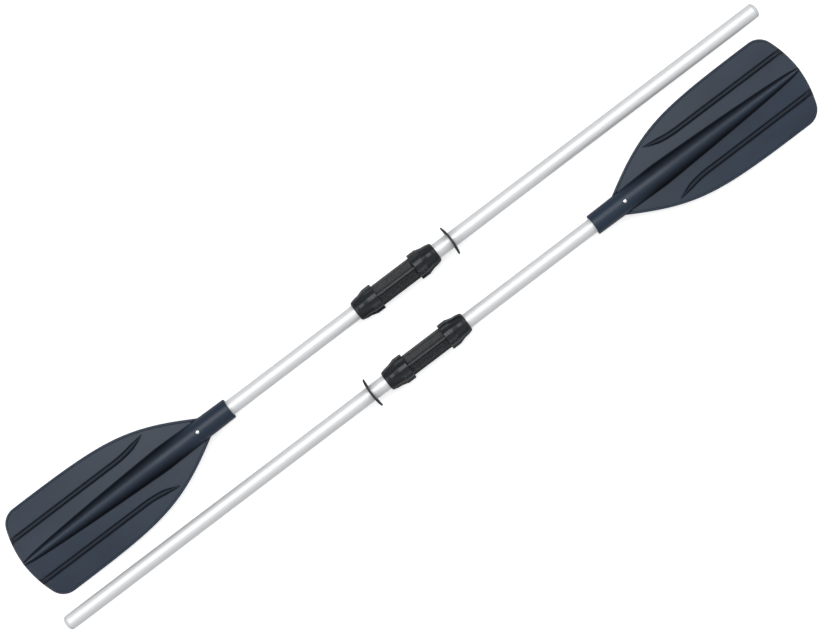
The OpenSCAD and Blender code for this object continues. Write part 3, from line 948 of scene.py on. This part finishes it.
def make_spring(oar):
    """Leaf spring: a lower leaf along the tube's bore, a round fold, and an upper leaf under the button."""
    near, far, half = oar.reach("snap_spring")
    low, high = oar.heights("snap_spring")
    thick, fold, pad, clearance = 0.6 * mm, 3.2 * mm, 14 * mm, 0.05 * mm
    turns = [math.radians(270 - 15 * k) for k in range(13)]

    def leaf(r, rise):
        """One face of the strip, which lies r from the middle of the fold."""
        bend = [(near + fold + r * math.cos(a), low + fold + r * math.sin(a)) for a in turns]
        return [(far, low + rise)] + bend + [(far - pad, high - rise), (far, high - rise)]

    bm = bmesh.new()
    rings = []
    for (s_in, z_in), (s_out, z_out) in zip(leaf(fold - thick, thick), leaf(fold, 0)):
        corners = ((s_in, half, z_in), (s_in, -half, z_in), (s_out, -half, z_out), (s_out, half, z_out))
        rings.append([bm.verts.new(corner) for corner in corners])
    for one, two in zip(rings, rings[1:]):
        for k in range(4):
            bm.faces.new((one[k], one[k - 1], two[k - 1], two[k]))
    bm.faces.new(rings[0])
    bm.faces.new(rings[-1])
    made = fit_piece(oar, "snap_spring", bm, "spring_steel", 30)
    press = next(j for j in BEHAVIOUR["joints"] if j["name"] == f"button_press_{oar.letter}")
    travel = press["range_m"][1] + clearance
    keep = 1 - travel / (high - low)
    oar.at(near, 0, low)
    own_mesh(made)


CARRIED_OVER = {
    "lower_tube": "tube_aluminium", "upper_tube": "tube_aluminium",
    "lower_tube_plug": "plug_rubber", "upper_tube_plug": "plug_rubber",
    "lower_clamp_ring": "clamp_plastic", "upper_clamp_ring": "clamp_plastic",
}

for oar in (Oar("a"), Oar("b")):
    make_blade(oar)
    make_sleeve(oar)
    make_nut(oar, "lower_nut", -1)
    make_nut(oar, "upper_nut", 1)
    make_drip_ring(oar)
    make_end_cap(oar)
    make_button(oar)
    make_spring(oar)
    for piece, finish in CARRIED_OVER.items():
        node = frame["nodes"][f"{piece}_{oar.letter}"]
        node.data.materials.clear()
        node.data.materials.append(FINISHES[finish])


# ---------------------------------------------------------------- studio

FLOOR_SIZE = 9.0
FLOOR_GAP = 0.2 * mm


def make_floor():
    """Plain pale floor. It is white to the camera and a softer grey in what the pieces reflect."""
    f = Finish("pale_floor")
    cloud = f.noise(3, detail=2)
    pale = f.mix(cloud, tint(0.86, 0.86, 0.86), tint(0.885, 0.885, 0.885))
    grey = f.mix(cloud, tint(0.50, 0.50, 0.50), tint(0.53, 0.53, 0.53))
    rough = 0.75
    glow = {"Emission Color": tint(1, 1, 1), "Emission Strength": 0.55}
    white = f.node("BsdfPrincipled", None, {"Base Color": pale, "Roughness": rough, **glow})
    seen = f.node("LightPath", out="Is Camera Ray")
    normal = f.bump(f.noise(500), 0.02 * mm, 0.1)
    bm = bmesh.new()
    bmesh.ops.create_grid(bm, x_segments=8, y_segments=8, size=FLOOR_SIZE / 2)
    mesh = bpy.data.meshes.new("floor")
    bm.to_mesh(mesh)
    bm.free()
    mesh.materials.append(f.surface(white, seen, Base_Color=grey, Roughness=rough, Normal=normal))
    floor = add_object("floor", mesh)
    floor.location.z = cad_low.z - FLOOR_GAP


def add_softbox(name, place, size, power):
    """Large rectangular soft light that faces the middle of the pair."""
    data = bpy.data.lights.new(name, "AREA")
    data.shape = "RECTANGLE"
    data.size, data.size_y = size
    data.energy = power
    lamp = add_object(name, data)
    lamp.location = place
    lamp.rotation_euler = (Vector() - Vector(place)).to_track_quat("-Z", "Y").to_euler()


def make_world():
    """Pale surroundings, brighter overhead, and plain white to the camera."""
    world = bpy.data.worlds.new("studio")
    world.use_nodes = True
    tree = world.node_tree
    background = tree.nodes["Background"]
    background.inputs["Color"].default_value = tint(0.97, 0.98, 1.0)
    sky = tree.nodes.new("ShaderNodeTexCoord")
    height = tree.nodes.new("ShaderNodeSeparateXYZ")
    fade = tree.nodes.new("ShaderNodeMapRange")
    for key, value in {"From Min": 0.25, "From Max": 0.85, "To Min": 0.36, "To Max": 0.62}.items():
        fade.inputs[key].default_value = value
    seen = tree.nodes.new("ShaderNodeLightPath")
    strength = tree.nodes.new("ShaderNodeMath")
    strength.operation = "MAXIMUM"
    tree.links.new(sky.outputs["Generated"], height.inputs[0])
    tree.links.new(height.outputs["Z"], fade.inputs["Value"])
    tree.links.new(fade.outputs[0], strength.inputs[0])
    tree.links.new(seen.outputs["Is Camera Ray"], strength.inputs[1])
    tree.links.new(strength.outputs[0], background.inputs["Strength"])
    bpy.context.scene.world = world


def make_studio():
    """The surroundings, a large softbox overhead and one beyond each end of the pair."""
    make_world()
    add_softbox("key_softbox", (0.0, 1.55, 5.0), (4.2, 3.7), 90)
    for side in (-1, 1):
        add_softbox("end_softbox", (side * 3.7, 1.0, 3.3), (3.6, 1.4), 46)
    bpy.context.scene.view_settings.view_transform = "Standard"


def make_camera():
    """Straight down on the pair with a long lens, turned so that the shafts run up to the right."""
    turn = math.radians(37.2)
    distance, width = 4.0, 1.2943
    to_right, to_top = 0.3 * mm, -1.3 * mm
    data = bpy.data.cameras.new("camera")
    data.sensor_width = 36
    data.lens = data.sensor_width * distance / width
    camera = add_object("camera", data)
    right = Vector((math.cos(turn), -math.sin(turn), 0))
    up = Vector((math.sin(turn), math.cos(turn), 0))
    middle = (cad_low + cad_high) / 2
    axes = Matrix((right, up, Vector((0, 0, 1)))).transposed().to_4x4()
    place = middle + Vector((0, 0, distance)) + to_right * right + to_top * up
    camera.matrix_world = Matrix.Translation(place) @ axes
    bpy.context.scene.camera = camera


make_floor()
make_studio()
make_camera()
